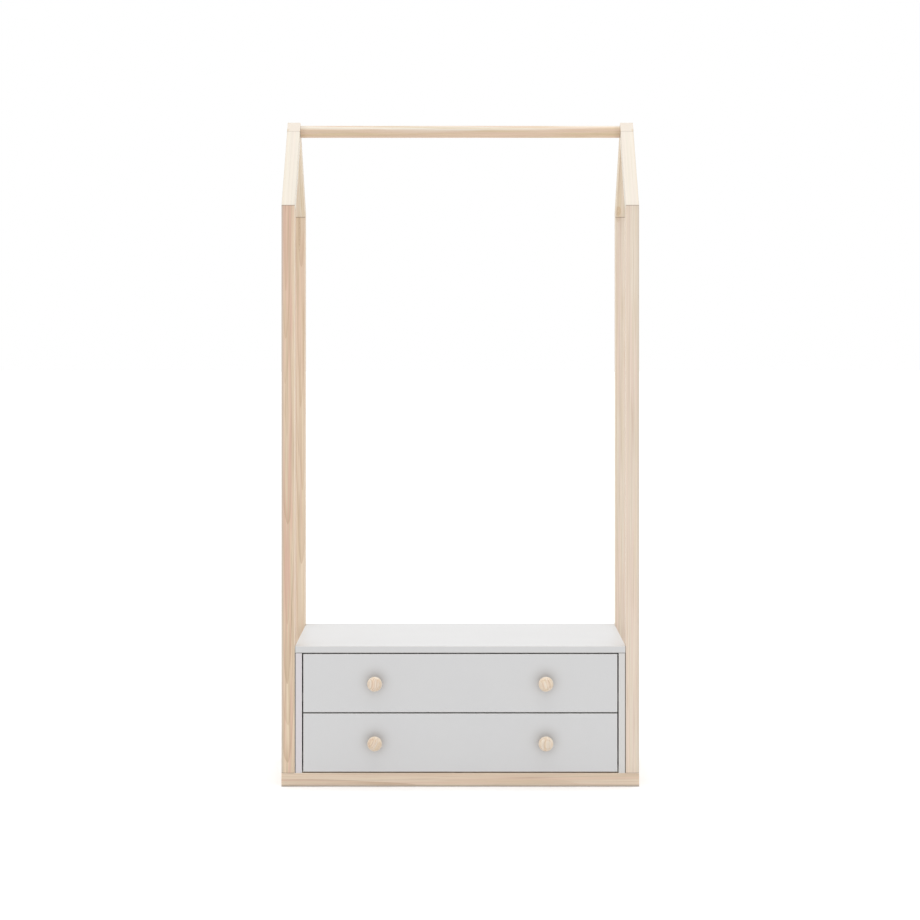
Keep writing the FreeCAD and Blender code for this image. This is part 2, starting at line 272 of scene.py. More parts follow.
def arris_light_and_shade(tree, place, own, colour, shade_colour, centre, half, outward, axle):
    """A colour with a painted highlight on the rounded arrises, and painted shade over a wider strip along the
    outward ones."""
    from_centre = add(tree, "VectorMath", {0: place, 1: centre}, operation="SUBTRACT")
    if axle:
        corner = add(tree, "VectorMath", {0: from_centre, 1: axle}, operation="CROSS_PRODUCT")
        corner = add(tree, "VectorMath", {0: corner}, out="Value", operation="LENGTH")
    else:
        spread = add(tree, "VectorMath", {0: own}, operation="ABSOLUTE")
        sides = add(tree, "SeparateXYZ", {"Vector": spread}).node
        corner = add(tree, "Math", {0: sides.outputs["X"], 1: sides.outputs["Y"]}, operation="MINIMUM")
    # Painted shade along the arrises on the outward side, over a wider strip
    arris_shade = add(tree, "VectorMath", {0: from_centre, 1: outward}, out="Value", operation="DOT_PRODUCT")
    arris_shade = add(tree, "MapRange", {"Value": arris_shade, "From Min": 0.0, "From Max": half})
    strip = add(tree, "MapRange", {"Value": arris_shade, "To Min": half - highlight_reach, "To Max": half - shade_reach})
    # A painted highlight along each rounded arris
    arris_highlight = {"Value": corner, "From Min": strip, "From Max": half - full_reach, "To Max": 0.7}
    arris_highlight = add(tree, "MapRange", arris_highlight, **eased)
    arris_shade = add(tree, "Math", {0: arris_shade, 1: 0.8}, operation="MULTIPLY")
    arris = add(tree, "MixRGB", {"Fac": arris_shade, "Color1": srgb("#F8E9D2"), "Color2": shade_colour})
    return add(tree, "MixRGB", {"Fac": arris_highlight, "Color1": colour, "Color2": arris})


# %% Pine
def faces(tree, direction):
    """1 where a surface faces a direction and -1 where it faces the other way."""
    normal = add(tree, "NewGeometry", out="Normal")
    return add(tree, "VectorMath", {0: normal, 1: direction}, out="Value", operation="DOT_PRODUCT")


def pine(name, centre, along, wood, pith, heart=0, lean=(0, 0), ring=3.0, wander=3.0, eye=None, joints=(),
         corner_shade=0.02, outward=Vector(), half=stock / 2, axle=None, seed=0.0):
    """Planed pine, smoothed with sandpaper, under a clear matt varnish, which leaves a soft sheen. wood is its
    kind, centre its middle and along the way of its grain. Across the bar, in millimetres, pith is the place of the
    pith, heart the reach of the heartwood round it, ring the width of a year's growth and wander how far that
    strays. lean is how far the pith leans per length, eye the place, the width and the length of a small knot,
    corner_shade how dark the painted shade in the corners at the joints is, and outward the side whose arrises get
    painted shade. half is half the bar's thickness, or the rim's radius of a turned piece, which has an axle, the
    direction that it was turned about."""
    kind = kinds[wood]
    material, tree, surface = new_material(name, IOR=1.5)
    along = Vector(along).normalized()
    place = add(tree, "TexCoord", out="Object")
    own = {"Vector": place, "Location": centre, "Rotation": section_axes(along)}
    own = add(tree, "Mapping", own, vector_type="TEXTURE")
    radius, summer = growth_rings(tree, own, pith, lean, ring, wander, eye, seed)
    colour = wood_colour(tree, own, kind, radius, summer, heart, seed)

    # Fibres are bundles of 3 mm here, coarser than real ones, which would not show
    fibre = drawn_out(tree, own, width=3.2, stretch=80, seed=seed, detail=3.0)
    shade = {"Value": fibre, "From Min": 0.25, "From Max": 0.75}
    shade.update({"To Min": 1 - 0.22 * kind["lines"], "To Max": 1 + 0.14 * kind["lines"]})
    shade = add(tree, "MapRange", shade)
    colour = add(tree, "VectorMath", {0: colour, "Scale": shade}, operation="SCALE")

    # The cut ends are sanded until they are as pale as the faces, and show the rings only faintly
    facing = add(tree, "Math", {0: faces(tree, along)}, operation="ABSOLUTE")
    cut_end = add(tree, "MapRange", {"Value": facing, "From Min": 0.9, "From Max": 0.97, "To Max": 0.75})
    colour = add(tree, "MixRGB", {"Fac": cut_end, "Color1": colour, "Color2": srgb("#EFE6DB")})
    colour = arris_light_and_shade(tree, place, own, colour, kind["arris_shade"], centre, half, outward, axle)

    if joints:
        # The seam itself is a thin dark line. Round it, painted shade fills the corner over a wider strip
        for width, share in ((1.6, 0.5), (18.0, corner_shade)):
            seam_and_shade = add(tree, "Math", {0: seams(tree, place, joints, width), 1: share}, operation="MULTIPLY")
            colour = add(tree, "MixRGB", {"Fac": seam_and_shade, "Color1": colour, "Color2": srgb("#6E5140")})

    # Summer wood is harder and stands up a little where the brush has raised the grain
    rough = add(tree, "MapRange", {"Value": fibre, "To Min": 0.38, "To Max": 0.56})
    height = add(tree, "Math", {0: summer, 1: 0.5, 2: fibre}, operation="MULTIPLY_ADD")
    bump = add(tree, "Bump", {"Strength": 0.35, "Distance": 0.06 * mm, "Height": height})
    connect(tree, surface, Base_Color=colour, Roughness=rough, Normal=bump)
    return material


def dress(node, material):
    """Gives a solid its finish."""
    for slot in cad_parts[node].material_slots:
        slot.link = "OBJECT"
        slot.material = material


# %% [markdown]
# Each bar was sawn from a place of its own in the trunk, and that is what sets one apart from the next. The left
# front post was cut close to the pith and shows arches and heartwood. The right front one was cut far from it and
# is pale and straight. So a bar is told by its kind, its pith and its rings, and the rest follows.

# %% Joints of the frame
# Each joint is a point in it and the direction square to it: the posts' feet on the base, the mitres at the eaves,
# and the laps at the ridge
rafter_low, rafter_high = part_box("front_left_rafter")
rear_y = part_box("rear_left_post")[1].y
climb, fall = (back + up).normalized(), (up - back).normalized()
foot = (Vector((0, 0, post_low.z)), up)
mitre_drop = post_high.z - rafter_low.z
front_mitre = (Vector((0, front_y, post_high.z)), Vector((0, mitre_drop, stock)))
rear_mitre = (Vector((0, rear_y, post_high.z)), Vector((0, -mitre_drop, stock)))
lap = (Vector((0, front_y + rafter_high.z - post_high.z, rafter_high.z)), climb)
bar_joints = {
    "front_post": (foot, front_mitre),
    "rear_post": (foot, rear_mitre),
    "front_rafter": (front_mitre, lap),
    "rear_rafter": (rear_mitre,),
    "base_rail": tuple((corner, back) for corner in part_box("base_left_rail")),
}
print(f"the mitres drop by {mitre_drop / mm:.1f} mm across the bar")

# %% Bars of the frame
bars = {
    "front_left_post": dict(along=up, wood="warm", pith=(-3, 10), heart=22, lean=(-0.003, -0.014), ring=2.1),
    "front_right_post": dict(along=up, wood="pale", pith=(-85, 20), heart=85, ring=4.4, wander=1.5),
    "rear_left_post": dict(along=up, wood="tan", pith=(5, 12), lean=(0, -0.012), eye=(1.5, -15, 584, 2.5, 45)),
    "rear_right_post": dict(along=up, wood="pale", pith=(30, 34), heart=46, ring=3.4, eye=(-9, -15, 620, 7, 10)),
    # The front rafters' paler pine is a painted highlight for the top light on their sloping faces
    "front_left_rafter": dict(along=climb, wood="highlit_cream", pith=(40, 30), ring=3.2),
    "front_right_rafter": dict(along=climb, wood="highlit_cream", pith=(-60, 25), ring=2.8),
    "rear_left_rafter": dict(along=fall, wood="straw", pith=(30, -40), ring=3.4),
    "rear_right_rafter": dict(along=fall, wood="straw", pith=(-5, 38), ring=3.6, eye=(-9, -18, -112, 7, 16)),
    "base_front_rail": dict(along=right, wood="shaded_foot", pith=(40, -12), lean=(0.01, 0.02), ring=3.2),
    "base_rear_rail": dict(along=right, wood="straw", pith=(-50, 20)),
    "base_left_rail": dict(along=back, wood="straw", pith=(45, 25)),
    "base_right_rail": dict(along=back, wood="pale", pith=(-38, 30)),
}
for number, (node, cut) in enumerate(bars.items()):
    row, side, piece = node.split("_")
    # The base's front and rear rails run through, so the seams lie on its side rails
    joints = () if side in ("front", "rear") else bar_joints[f"{row}_{piece}"]
    # Painted shade goes on the outward arrises: the lower ones of the base and the outer ones of the frame
    outward = -up if row == "base" else right * sideways[side]
    finish = pine(f"planed_pine_{node}", middle(node), seed=3.7 * number, joints=joints, outward=outward, **cut)
    dress(node, finish)
print(len(bars), "bars dressed")

# %% [markdown]
# ## The hanging rail
# The rail is a round pine rod, turned and sanded. It has no arrises, so the same pine is used with a bar size wide
# enough for the painted arris highlight to fall outside it. Its grain runs along it, and its pith is set low, so
# that pale sapwood lies on top and brownish streaks below: a painted highlight that makes it lighter on top. At its
# ends the painted shade in the corners is deeper than in the frame's other corners.

# %% Hanging rail
rail_low, rail_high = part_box("hanging_rail")
# The low pith makes the rail's top pale, a painted highlight, and its ends get deeper painted corner shade
rail_wood = dict(wood="rod", pith=(-12, -26), heart=30, ring=3.0, wander=4, corner_shade=0.12, half=stock, seed=61.0)
rail_ends = ((rail_low, right), (rail_high, right))
dress("hanging_rail", pine("turned_pine_rail", middle("hanging_rail"), right, joints=rail_ends, **rail_wood))
print(f"rail {(rail_high.z - rail_low.z) / mm:.0f} mm thick, {(rail_high.x - rail_low.x) / mm:.0f} mm long")

# %% [markdown]
# ## Beech tenons
# The loose tenons inside the joints are milled beech: plain, warm and full of short dark flecks. They are hidden,
# but a hidden piece is still worth its own wood, as it shows when the joint is drawn apart.


# %% Beech
def beech(name):
    """Milled beech, left bare and so quite dull, with the short flecks of its rays."""
    material, tree, surface = new_material(name, IOR=1.5)
    place = add(tree, "TexCoord", out="Object")
    # Rays are 2 to 4 mm long and half a millimetre wide
    stretched = add(tree, "VectorMath", {0: place, 1: (1, 1, 0.2)}, operation="MULTIPLY")
    flecks = add(tree, "TexVoronoi", {"Vector": stretched, "Scale": 1 / (0.8 * mm), "Randomness": 1.0})
    flecks = {"Value": flecks, "From Min": 0.1, "From Max": 0.3, "To Min": 0.5, "To Max": 0.0}
    flecks = add(tree, "MapRange", flecks)
    clouds = add(tree, "TexNoise", {"Vector": stretched, "Scale": 1 / (12 * mm), "Detail": 3.0})
    wood = add(tree, "MixRGB", {"Fac": clouds, "Color1": srgb("#D9B48C"), "Color2": srgb("#C99F76")})
    wood = add(tree, "MixRGB", {"Fac": flecks, "Color1": wood, "Color2": srgb("#A87B52")})
    rough = add(tree, "MapRange", {"Value": clouds, "To Min": 0.55, "To Max": 0.7})
    bump = add(tree, "Bump", {"Strength": 0.3, "Distance": 0.05 * mm, "Height": flecks})
    connect(tree, surface, Base_Color=wood, Roughness=rough, Normal=bump)
    return material


tenon_wood = beech("milled_beech")
for node in ("frame_tenons", "cabinet_tenons"):
    dress(node, tenon_wood)
print("tenons dressed")

# %% [markdown]
# ## Lacquered board
# The cabinet and the drawer fronts are fibreboard with a sprayed white lacquer, rubbed to a satin sheen. It looks
# plain, but a single flat colour would look like paper. Sprayed lacquer dries with a fine orange peel, which breaks
# up the sheen, and its thickness varies a little, which shows as faint clouds. At the edges, where the board drinks
# the lacquer, the film is thinner and duller. Those edges are found from the box of each board.


# %% Lacquer
def lacquer(node, colours=("#E1E1E1", "#DEDEDF"), joints=(), shaded_points=(), band=None):
    """Sprayed satin lacquer on a board, in a colour and that of its clouds. shaded_points are the points round
    which shade is painted, and band is the colour of a front edge that has an edge band."""
    material, tree, surface = new_material(f"satin_lacquer_{node}", IOR=1.5)
    place = add(tree, "TexCoord", out="Object")
    clouds = add(tree, "TexNoise", {"Vector": place, "Scale": 1 / (120 * mm), "Detail": 3.0})
    paint = add(tree, "MixRGB", {"Fac": clouds, "Color1": srgb(colours[0]), "Color2": srgb(colours[1])})
    if band:
        banded = add(tree, "Math", {0: faces(tree, -back), 1: 0.5}, operation="GREATER_THAN")
        paint = add(tree, "MixRGB", {"Fac": banded, "Color1": paint, "Color2": srgb(band)})
    # Orange peel is 1 to 2 mm across
    peel = add(tree, "TexNoise", {"Vector": place, "Scale": 1 / (1.8 * mm), "Detail": 1.0})

    # How far a point is from the board's sides. The two smallest distances meet at an edge: that edge is as far
    # away as the larger one of them
    low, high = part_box(node)
    offset = add(tree, "VectorMath", {0: place, 1: (low + high) / 2}, operation="SUBTRACT")
    offset = add(tree, "VectorMath", {0: offset}, operation="ABSOLUTE")
    offset = add(tree, "VectorMath", {0: (high - low) / 2, 1: offset}, operation="SUBTRACT")
    sides = add(tree, "SeparateXYZ", {"Vector": offset}).node
    least = add(tree, "Math", {0: sides.outputs["X"], 1: sides.outputs["Y"]}, operation="MINIMUM")
    most = add(tree, "Math", {0: sides.outputs["X"], 1: sides.outputs["Y"]}, operation="MAXIMUM")
    edge = add(tree, "Math", {0: least, 1: sides.outputs["Z"]}, operation="MAXIMUM")
    edge = add(tree, "Math", {0: most, 1: edge}, operation="MINIMUM")
    thin = {"Value": edge, "From Min": 0.2 * mm, "From Max": 2.2 * mm, "To Min": 1.0, "To Max": 0.0}
    thin = add(tree, "MapRange", thin, **eased)
    worn = add(tree, "Math", {0: thin, 1: 0.5}, operation="MULTIPLY")
    paint = add(tree, "MixRGB", {"Fac": worn, "Color1": paint, "Color2": srgb("#EDEAE4")})
    if joints:
        # Dust settles in the fine groove where two boards meet
        dust = add(tree, "Math", {0: seams(tree, place, joints, 1.7), 1: 0.9}, operation="MULTIPLY")
        paint = add(tree, "MixRGB", {"Fac": dust, "Color1": paint, "Color2": srgb("#6F6C69")})

    # Painted shade round each knob, full at the knob and gone 48 mm from its middle
    for shaded_point in shaded_points:
        # Depth counts four times, which keeps the painted shade off the board's back
        knob_shade = {"Value": distance(tree, place, shaded_point, (1, 4, 1)), "From Min": 14 * mm, "From Max": 48 * mm}
        knob_shade = add(tree, "MapRange", {**knob_shade, "To Min": 1.0, "To Max": 0.0})
        knob_shade = add(tree, "Math", {0: knob_shade, 1: 2.5}, operation="POWER")
        knob_shade = add(tree, "Math", {0: knob_shade, 1: 0.28}, operation="MULTIPLY")
        paint = add(tree, "MixRGB", {"Fac": knob_shade, "Color1": paint, "Color2": srgb("#5E5A56")})

    rough = add(tree, "MapRange", {"Value": clouds, "To Min": 0.34, "To Max": 0.44})
    rough = add(tree, "Math", {0: thin, 1: 0.12, 2: rough}, operation="MULTIPLY_ADD")
    bump = add(tree, "Bump", {"Strength": 0.25, "Distance": 0.03 * mm, "Height": peel})
    connect(tree, surface, Base_Color=paint, Roughness=rough, Normal=bump)
    return material


# %% Places of the knobs
levels = ("lower", "upper")
# Both knobs of a drawer are in one solid, so each sits its radius in from an end of that solid's box
knobs_low, knobs_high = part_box("lower_drawer_knobs")
knob_radius = (knobs_high.z - knobs_low.z) / 2
knob_spacing = knobs_high.x - knobs_low.x - 2 * knob_radius


def knob_place(level, side, y=knobs_high.y):
    """A point on the axis of a knob, by default where that axis meets the drawer front."""
    return Vector((sideways[side] * knob_spacing / 2, y, middle(f"{level}_drawer_knobs").z))


print(f"knobs {2 * knob_radius / mm:.0f} mm across, {knob_spacing / mm:.0f} mm apart")

# %% Spray the boards
dress("cabinet_bottom", lacquer("cabinet_bottom"))
# The top board's lacquer is a touch darker than the rest: painted shade that tones down the light from above
dress("cabinet_top", lacquer("cabinet_top", colours=("#DFDFDF", "#DDDDDD")))
for level in levels:
    # The painted shade lies deepest just above the knobs
    shaded_points = [knob_place(level, side) + 5 * mm * up for side in sideways]
    dress(f"{level}_drawer_front", lacquer(f"{level}_drawer_front", shaded_points=shaded_points))
# The front edges of the end panels have bands that never quite match: one is a touch cooler, one a touch warmer
for side, band in (("left", "#E4DFE2"), ("right", "#E2E0DD")):
    node = f"cabinet_{side}_side"
    side_low, side_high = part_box(node)
    # Its outer front corner at the top, where it meets the top board and the post
    corner = Vector((side_low.x if side == "left" else side_high.x, side_low.y, side_high.z))
    joints = ((corner, up, back), (corner, up, right), (corner, right, back))
    dress(node, lacquer(node, joints=joints, band=band))
print("cabinet and drawer fronts lacquered")

# %% [markdown]
# ## Foiled drawer boards
# The sides and backs of the drawers are board wrapped in a white foil, printed dull and embossed with a fine pore
# so that fingerprints don't show. A noise that is stretched along the board gives those pores.


# %% Foil
def foil(name, along):
    """White decor foil with an embossed pore that runs along the board."""
    material, tree, surface = new_material(name, IOR=1.48)
    place = add(tree, "TexCoord", out="Object")
    # Pores are half a millimetre wide and some 8 mm long
    squeeze = Vector((1, 1, 1)) - 0.94 * along
    pores = add(tree, "VectorMath", {0: place, 1: squeeze}, operation="MULTIPLY")
    pores = add(tree, "TexNoise", {"Vector": pores, "Scale": 1 / (0.9 * mm), "Detail": 1.0})
    clouds = add(tree, "TexNoise", {"Vector": place, "Scale": 1 / (90 * mm), "Detail": 2.0})
    paint = add(tree, "MixRGB", {"Fac": clouds, "Color1": srgb("#E2E1DE"), "Color2": srgb("#DEDDDA")})
    dark = add(tree, "MapRange", {"Value": pores, "From Min": 0.6, "From Max": 0.8, "To Max": 0.12})
    paint = add(tree, "MixRGB", {"Fac": dark, "Color1": paint, "Color2": srgb("#B9B7B2")})
    rough = add(tree, "MapRange", {"Value": pores, "To Min": 0.45, "To Max": 0.6})
    bump = add(tree, "Bump", {"Strength": 0.3, "Distance": 0.04 * mm, "Height": pores})
    connect(tree, surface, Base_Color=paint, Roughness=rough, Normal=bump)
    return material


side_foil = foil("foiled_board_sides", back)
back_foil = foil("foiled_board_backs", right)
for level in levels:
    dress(f"{level}_drawer_back", back_foil)
    for side in sideways:
        dress(f"{level}_drawer_{side}_side", side_foil)
print("drawer boxes dressed")

# %% [markdown]
# ## Hardboard
# The cabinet's back and the drawer bottoms are 3 mm hardboard: wood fibres pressed on a wire screen. The side that
# is seen is rolled with white paint. The other one stays brown and keeps the print of the screen, a weave of fine
# dents. Both are one sheet, so one material tells them apart by the way that the surface faces.


# %% Hardboard
def hardboard(name, seen):
    """Pressed hardboard, painted white on the side that faces along seen and raw on the other one."""
    material, tree, surface = new_material(name, IOR=1.5)
    place = add(tree, "TexCoord", out="Object")
    raw = add(tree, "Math", {0: faces(tree, seen), 1: -0.5}, operation="LESS_THAN")
    speckle = add(tree, "TexNoise", {"Vector": place, "Scale": 1 / (1.5 * mm), "Detail": 4.0, "Roughness": 0.7})
    fibres = {"Vector": place, "Scale": 1 / (6 * mm), "Detail": 3.0, "Distortion": 1.5}
    fibres = add(tree, "TexNoise", fibres)
    brown = add(tree, "MixRGB", {"Fac": fibres, "Color1": srgb("#9B7C5B"), "Color2": srgb("#84664A")})
    brown = add(tree, "MixRGB", {"Fac": speckle, "Color1": brown, "Color2": srgb("#B0926F")})
    white = add(tree, "MixRGB", {"Fac": speckle, "Color1": srgb("#E2E1DD"), "Color2": srgb("#DCDBD7")})
    sheet = add(tree, "MixRGB", {"Fac": raw, "Color1": white, "Color2": brown})
    # The wires of the screen lie 1.6 mm apart, both ways. At scale 1 the waves of the texture lie pi / 10 apart
    waves = []
    for direction, share in zip("XYZ", seen):
        if abs(share) < 0.5:
            wires = {"Vector": place, "Scale": math.pi / 10 / (1.6 * mm)}
            waves.append(add(tree, "TexWave", wires, out="Fac", bands_direction=direction))
    dents = add(tree, "Math", {0: waves[0], 1: waves[1]}, operation="MULTIPLY")
    dents = add(tree, "Math", {0: dents, 1: raw}, operation="MULTIPLY")
    height = add(tree, "Math", {0: speckle, 1: 0.5, 2: dents}, operation="MULTIPLY_ADD")
    rough = add(tree, "MapRange", {"Value": raw, "To Min": 0.5, "To Max": 0.85})
    bump = add(tree, "Bump", {"Strength": 0.5, "Distance": 0.15 * mm, "Height": height})
    connect(tree, surface, Base_Color=sheet, Roughness=rough, Normal=bump)
    return material


dress("cabinet_back", hardboard("painted_hardboard_back", -back))
bottom_sheet = hardboard("painted_hardboard_bottom", up)
for level in levels:
    dress(f"{level}_drawer_bottom", bottom_sheet)
print("hardboard dressed")

# %% [markdown]
# ## Runners and rollers
# The runners are bent from sheet steel and powder-coated: the powder melts into a thick skin with a coarser peel
# than lacquer. The rollers are moulded nylon, a milky white with a waxy sheen. A little light goes into it, and its
# tread is polished by the steel that it runs on, while the side walls keep the matt skin of the mould.


# %% Powder coat
def powder_coat(name):
    """White epoxy powder coat on bent sheet steel."""
    material, tree, surface = new_material(name, IOR=1.52)
    place = add(tree, "TexCoord", out="Object")
    # The peel of a powder coat is 2 to 3 mm across
    peel = add(tree, "TexNoise", {"Vector": place, "Scale": 1 / (2.4 * mm), "Detail": 2.0})
    grit = add(tree, "TexNoise", {"Vector": place, "Scale": 1 / (0.7 * mm), "Detail": 2.0})
    paint = add(tree, "MixRGB", {"Fac": grit, "Color1": srgb("#E9E9E6"), "Color2": srgb("#E0E0DD")})
    rough = add(tree, "MapRange", {"Value": peel, "To Min": 0.28, "To Max": 0.42})
    bump = add(tree, "Bump", {"Strength": 0.4, "Distance": 0.06 * mm, "Height": peel})
    connect(tree, surface, Base_Color=paint, Roughness=rough, Normal=bump)
    return material


# %% Nylon
def nylon(name, axis, tread):
    """Moulded white nylon. axis is a point on the roller's axle, and tread is the roller's radius."""
    milky = {"Subsurface_Weight": 0.15, "Subsurface_Scale": 1.0 * mm}
    material, tree, surface = new_material(name, IOR=1.53, **milky)
    place = add(tree, "TexCoord", out="Object")
    radius = distance(tree, place, axis, (0, 1, 1))
    polished = {"Value": radius, "From Min": tread - 0.4 * mm, "From Max": tread - 0.1 * mm}
    polished = add(tree, "MapRange", {**polished, "To Min": 0.5, "To Max": 0.26})
    blush = add(tree, "TexNoise", {"Vector": place, "Scale": 1 / (4 * mm), "Detail": 2.0})
    resin = add(tree, "MixRGB", {"Fac": blush, "Color1": srgb("#F0EFEA"), "Color2": srgb("#E6E4DC")})
    # Fine rings left by the turning of the mould, 0.5 mm apart
    rings = add(tree, "Math", {0: radius, 1: math.tau / (0.5 * mm)}, operation="MULTIPLY")
    rings = add(tree, "Math", {0: rings}, operation="SINE")
    bump = add(tree, "Bump", {"Strength": 0.3, "Distance": 0.02 * mm, "Height": rings})
    connect(tree, surface, Base_Color=resin, Roughness=polished, Normal=bump)
    return material


# %% Dress the runners and rollers
runner_coat = powder_coat("white_powder_coat")
for level in levels:
    for side in sideways:
        for owner in ("cabinet", "drawer"):
            dress(f"{level}_{side}_{owner}_runner", runner_coat)
            roller = f"{level}_{side}_{owner}_roller"
            roller_low, roller_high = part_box(roller)
            tread = (roller_high.z - roller_low.z) / 2
            dress(roller, nylon(f"moulded_nylon_{roller}", middle(roller), tread))
print(f"runners and rollers dressed, the last roller {2 * tread / mm:.0f} mm across")

# %% [markdown]
# ## Turned knobs
# Each drawer has two knobs, turned on a lathe from small blocks of pine: a foot, a throat drawn in for the fingers,
# a flared head and a softly crowned face. The frame has them with straight flanks. Blender can round them better:
# half of the outline is drawn by formula and spun round, as on the lathe. The grain runs up and down across the
# face.


# %% Spin an outline
def new_mesh(name, points, loops):
    """A mesh of points and faces. Each face is a loop of point numbers, counterclockwise as seen from outside."""
    mesh = bpy.data.meshes.new(name)
    mesh.from_pydata(points, [], loops)
    return mesh


def spun(name, outline, segments=64):
    """A mesh made by spinning an outline of (radius, height) points about Z. It starts and ends on that axis."""
    turns = [math.tau * step / segments for step in range(segments)]
    points = [(0, 0, outline[0][1])]
    for radius, height in outline[1:-1]:
        points += [(radius * math.cos(turn), radius * math.sin(turn), height) for turn in turns]
    points.append((0, 0, outline[-1][1]))
    last = len(points) - 1
    loops = []
    for start in range(segments):
        end = (start + 1) % segments
        loops.append((0, 1 + end, 1 + start))
        for ring in range(1, last - segments, segments):
            loops.append((ring + start, ring + end, ring + segments + end, ring + segments + start))
        loops.append((last - segments + start, last - segments + end, last))
    mesh = new_mesh(name, points, loops)
    mesh.shade_smooth()
    return mesh


# %% Place a piece
def new_object(name, data):
    """An object with its mesh, lamp or camera, linked to the scene."""
    item = bpy.data.objects.new(name, data)
    scene.collection.objects.link(item)
    return item


def place_piece(name, mesh, material, body, matrix=Matrix()):
    """Puts a mesh into the scene as a piece that rides on a body."""
    piece = new_object(name, mesh)
    piece.matrix_world = matrix
    if not mesh.materials:
        mesh.materials.append(material)
    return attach(piece, body)


# %% Knob outline
projection = knobs_high.y - knobs_low.y
# Sanding takes half a millimetre off the rim
rim = knob_radius - 0.5 * mm
foot_radius, waist_radius = 9.5 * mm, 8.0 * mm
waist_height, shoulder_height = 6.0 * mm, 15.0 * mm
steps = 16
shares = [step / steps for step in range(steps + 1)]
angles = [share * math.pi / 2 for share in shares]

throat = [(between(waist_radius, foot_radius, (1 - share) ** 2), waist_height * share) for share in shares]
flare = [
    (between(waist_radius, rim, math.sin(angle) ** 1.5), between(waist_height, shoulder_height, share))
    for share, angle in zip(shares[1:], angles[1:])
]
# The crown is a quarter of a squarish ellipse, so the rim is round and the face a shallow dome
crown = [
    (rim * math.cos(angle) ** 0.75, between(shoulder_height, projection, math.sin(angle) ** 0.95))
    for angle in angles[1:-1]
]
knob_outline = [(0, 0)] + throat + flare + crown + [(0, projection)]
print(f"knobs {projection / mm:.0f} mm high, outline of {len(knob_outline)} points")

# %% Turn the knobs
knob_woods = {
    "lower_left": dict(along=(0.5, 0, 1), pith=(20, 6), heart=24, ring=2.6),
    "lower_right": dict(along=(0.05, 0, 1), pith=(-8, 60), ring=3.2),
    "upper_left": dict(along=(0.08, 0, 1), pith=(22, 8), heart=24, ring=2.8),
    "upper_right": dict(along=(-0.3, 0, 1), pith=(12, 55), ring=3.0),
}
for number, (which, cut) in enumerate(knob_woods.items()):
    level, side = which.split("_")
    base = knob_place(level, side)
    mesh = spun(f"{which}_knob", knob_outline)
    mesh.transform(Matrix.Translation(base) @ Matrix.Rotation(math.pi / 2, 4, "X"))
    turned = dict(wood="knob", half=rim, axle=back, wander=1.5, seed=70 + 4.1 * number)
    finish = pine(f"turned_pine_{which}_knob", base, **turned, **cut)
    knob = place_piece(f"{which}_knob", mesh, finish, f"{level}_drawer")
    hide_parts(f"{level}_drawer_knobs")
print(len(knob_woods), "knobs turned")

# %% [markdown]
# ## Screws
# The screws only show when a drawer is pulled out, but then they are what makes a runner look fixed and not glued.
# They are zinc-plated steel with a cross recess. A head is spun like a knob, and a tapered cross is cut out of it
# with a boolean modifier, once for each kind of head. The heads then share that mesh.


# %% Zinc
def zinc(name):
    """Bright zinc plating with a bluish passivation, fine turning marks and a few dull spots."""
    material, tree, surface = new_material(name, Metallic=1.0)
    place = add(tree, "TexCoord", out="Object")
    radius = distance(tree, place, (0, 0, 0), (1, 1, 0))
    # Turning marks 0.25 mm apart, coarser than real ones, which would not show
    marks = add(tree, "Math", {0: radius, 1: math.tau / (0.25 * mm)}, operation="MULTIPLY")
    marks = add(tree, "Math", {0: marks}, operation="SINE")
    spots = add(tree, "TexNoise", {"Vector": place, "Scale": 1 / (1.5 * mm), "Detail": 2.0})
    plating = add(tree, "MixRGB", {"Fac": spots, "Color1": srgb("#D5D8DB"), "Color2": srgb("#B9BCBE")})
    rough = add(tree, "MapRange", {"Value": spots, "To Min": 0.22, "To Max": 0.45})
    bump = add(tree, "Bump", {"Strength": 0.25, "Distance": 0.01 * mm, "Height": marks})
    connect(tree, surface, Base_Color=plating, Roughness=rough, Normal=bump)
    return material


screw_zinc = zinc("zinc_plated_steel")


# %% Cross recess
def cross_cutter(name, arm, half_width, depth, surface_height):
    """A cross that narrows downwards, so that the driver's tip finds its place. It ends as far above the surface
    as it reaches below it."""
    quarter = [Vector((arm, -half_width)), Vector((arm, half_width)), Vector((half_width, half_width))]
    cross = [Matrix.Rotation(turn * math.pi / 2, 2) @ corner for turn in range(4) for corner in quarter]
    points = [
        (narrow * corner.x, narrow * corner.y, z)
        for narrow, z in ((0.45, surface_height - depth), (1.0, surface_height + depth))
        for corner in cross
    ]
    count = len(cross)
    loops = [tuple(range(count))[::-1], tuple(range(count, 2 * count))]
    for start in range(count):
        end = (start + 1) % count
        loops.append((start, end, count + end, count + start))
    return new_mesh(name, points, loops)


# %% Screw heads
def screw_head(name, radius, height, recess_depth):
    """A screw's head with its seat at z 0 and a cross recess in its crown."""
    rise = [(radius * math.cos(angle), height * math.sin(angle)) for angle in angles[:-1]]
    # With 36 steps no edge of the head runs through a corner of the cross, which would leave slivers there
    head_mesh = spun(name, [(0, 0)] + rise + [(0, height)], segments=36)
    size = dict(arm=0.65 * radius, half_width=0.14 * radius, depth=recess_depth, surface_height=height)
    cutter_mesh = cross_cutter(f"{name}_cutter", **size)
    blank, cutter = new_object(name, head_mesh), new_object(f"{name}_cutter", cutter_mesh)
    cut = blank.modifiers.new("recess", "BOOLEAN")
    cut.object, cut.solver = cutter, "EXACT"
    graph = bpy.context.evaluated_depsgraph_get()
    made = bpy.data.meshes.new_from_object(blank.evaluated_get(graph))
    for piece in (blank, cutter):
        bpy.data.objects.remove(piece)
    made.name = name
    return made


